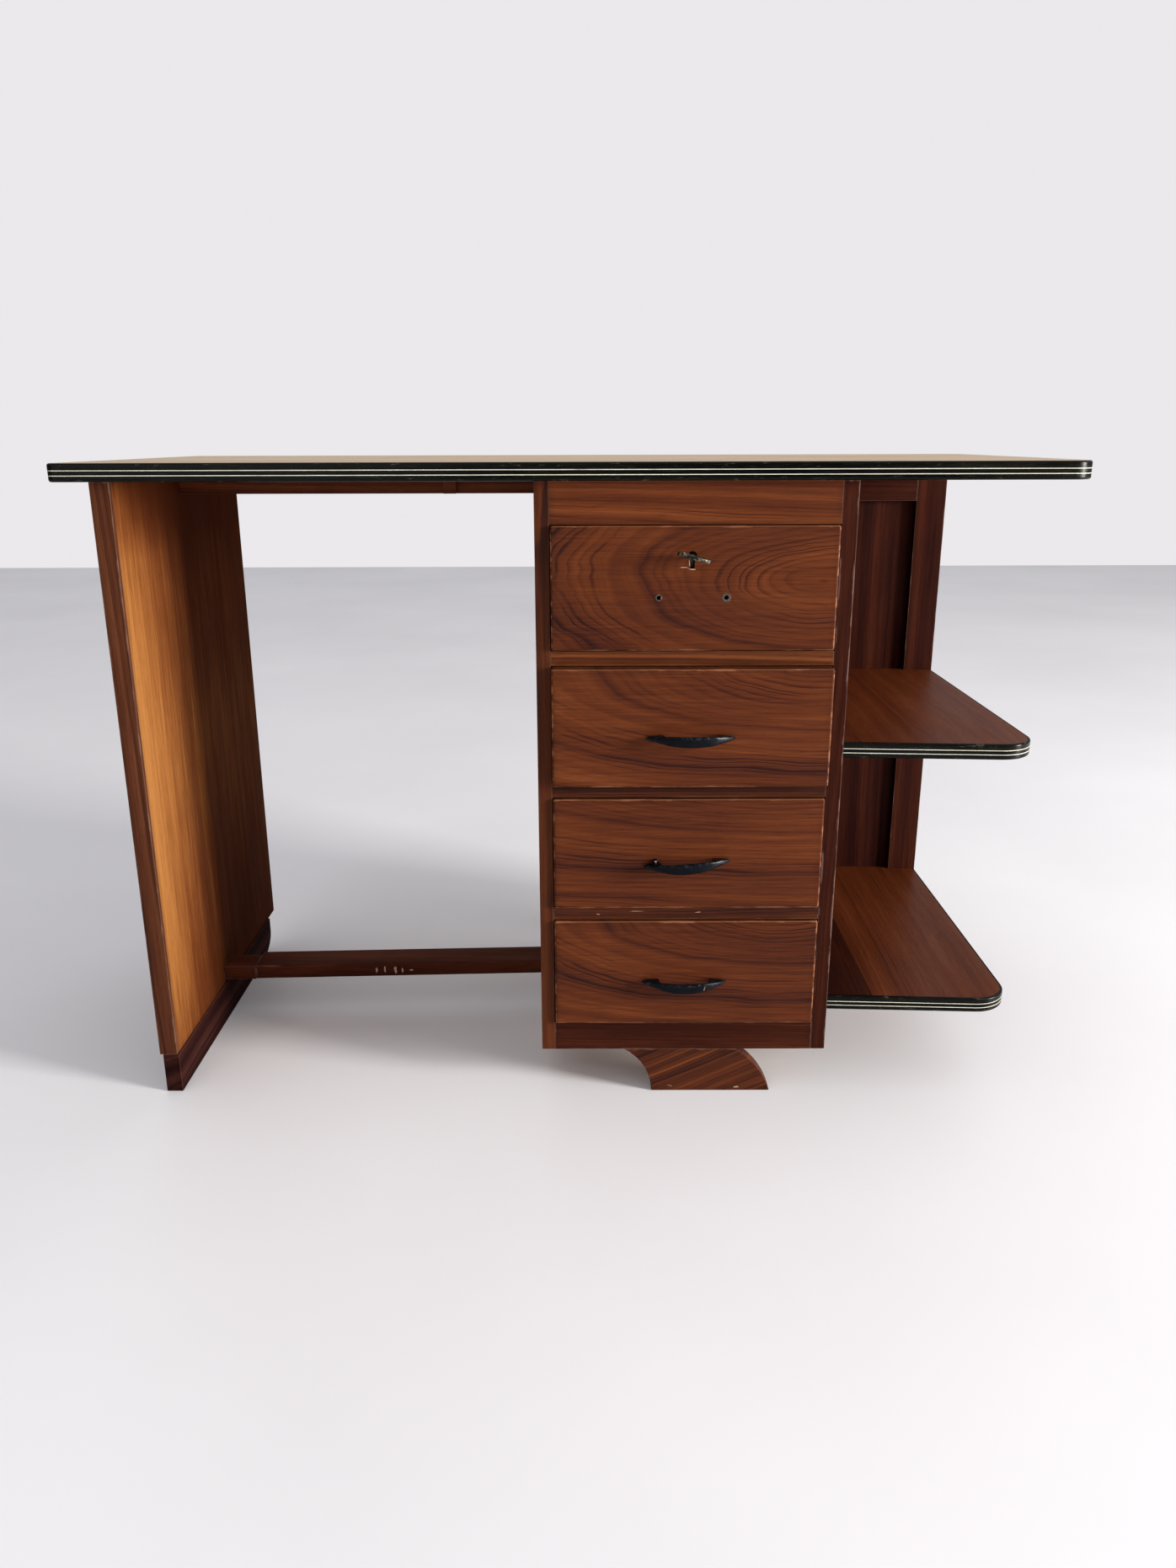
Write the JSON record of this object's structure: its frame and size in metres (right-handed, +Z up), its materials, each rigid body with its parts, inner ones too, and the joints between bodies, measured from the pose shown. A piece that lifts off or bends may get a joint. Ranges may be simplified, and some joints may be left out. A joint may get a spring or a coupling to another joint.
{
  "type": "writing desk with drawers",
  "caption": "Single-pedestal writing desk with a banded top, sliding drawers with bow handles and a lock, a panel leg and open end shelves.",
  "frame": {"origin": "middle of the desk's bounding box in plan, on the floor, in the rest position with the second drawer 12 mm open", "axes": "+X to the right seen from the front, +Y to the back, +Z up"},
  "size_m": [1.14, 0.528, 0.78],
  "materials": {
    "maple_top": "satin",
    "edge_band": "gloss",
    "panel_veneer": "satin",
    "walnut": "satin",
    "dark_plinth": "satin",
    "box_wood": "matte",
    "hardboard": "matte",
    "black_metal": "satin",
    "lock_steel": "worn",
    "key_brass": "worn"
  },
  "bodies": {
    "carcass": {"desktop_board": "maple_top", "desktop_edge_band": "edge_band", "left_side_panel": "panel_veneer", "left_panel_lipping": "walnut", "left_plinth": "dark_plinth", "knee_rail": "walnut", "stretcher": "walnut", "stretcher_end_block": "walnut", "pedestal_left_side": "panel_veneer", "pedestal_right_side": "panel_veneer", "pedestal_back": "hardboard", "pedestal_bottom": "box_wood", "bottom_rail": "walnut", "top_rail": "walnut", "divider_rail_1": "walnut", "divider_rail_2": "walnut", "divider_rail_3": "walnut", "runner_1_left": "box_wood", "runner_1_right": "box_wood", "runner_2_left": "box_wood", "runner_2_right": "box_wood", "runner_3_left": "box_wood", "runner_3_right": "box_wood", "runner_4_left": "box_wood", "runner_4_right": "box_wood", "foot_front": "walnut", "foot_rear": "walnut", "upper_shelf_board": "panel_veneer", "upper_shelf_band": "edge_band", "lower_shelf_board": "panel_veneer", "lower_shelf_band": "edge_band", "back_stile": "panel_veneer", "back_top_rail": "panel_veneer", "back_panel": "panel_veneer"},
    "drawer_1": {"drawer_1_front": "walnut", "drawer_1_left_side": "box_wood", "drawer_1_right_side": "box_wood", "drawer_1_back": "box_wood", "drawer_1_bottom": "hardboard", "lock_case": "lock_steel"},
    "drawer_2": {"drawer_2_front": "walnut", "drawer_2_left_side": "box_wood", "drawer_2_right_side": "box_wood", "drawer_2_back": "box_wood", "drawer_2_bottom": "hardboard", "handle_2": "black_metal"},
    "drawer_3": {"drawer_3_front": "walnut", "drawer_3_left_side": "box_wood", "drawer_3_right_side": "box_wood", "drawer_3_back": "box_wood", "drawer_3_bottom": "hardboard", "handle_3": "black_metal"},
    "drawer_4": {"drawer_4_front": "walnut", "drawer_4_left_side": "box_wood", "drawer_4_right_side": "box_wood", "drawer_4_back": "box_wood", "drawer_4_bottom": "hardboard", "handle_4": "black_metal"},
    "key_body": {"key": "key_brass"},
    "bolt_body": {"lock_bolt": "lock_steel"}
  },
  "joints": [
    {"name": "drawer_1_slide", "type": "slide", "parent": "carcass", "child": "drawer_1", "axis": [0, -1, 0], "range_m": [0, 0.3]},
    {"name": "drawer_2_slide", "type": "slide", "parent": "carcass", "child": "drawer_2", "axis": [0, -1, 0], "range_m": [-0.012, 0.288]},
    {"name": "drawer_3_slide", "type": "slide", "parent": "carcass", "child": "drawer_3", "axis": [0, -1, 0], "range_m": [0, 0.3]},
    {"name": "drawer_4_slide", "type": "slide", "parent": "carcass", "child": "drawer_4", "axis": [0, -1, 0], "range_m": [0, 0.3]},
    {"name": "key_turn", "type": "hinge", "parent": "drawer_1", "child": "key_body", "pos_m": [0.133, -0.226, 0.679], "axis": [0, 1, 0], "range_deg": [0, 90]},
    {"name": "bolt_slide", "type": "slide", "parent": "drawer_1", "child": "bolt_body", "axis": [0, 0, 1], "range_m": [0, 0.01]}
  ],
  "couplings": [
    {"joint": "key_turn", "follows": "bolt_slide", "rad_per_m": 157.08}
  ]
}
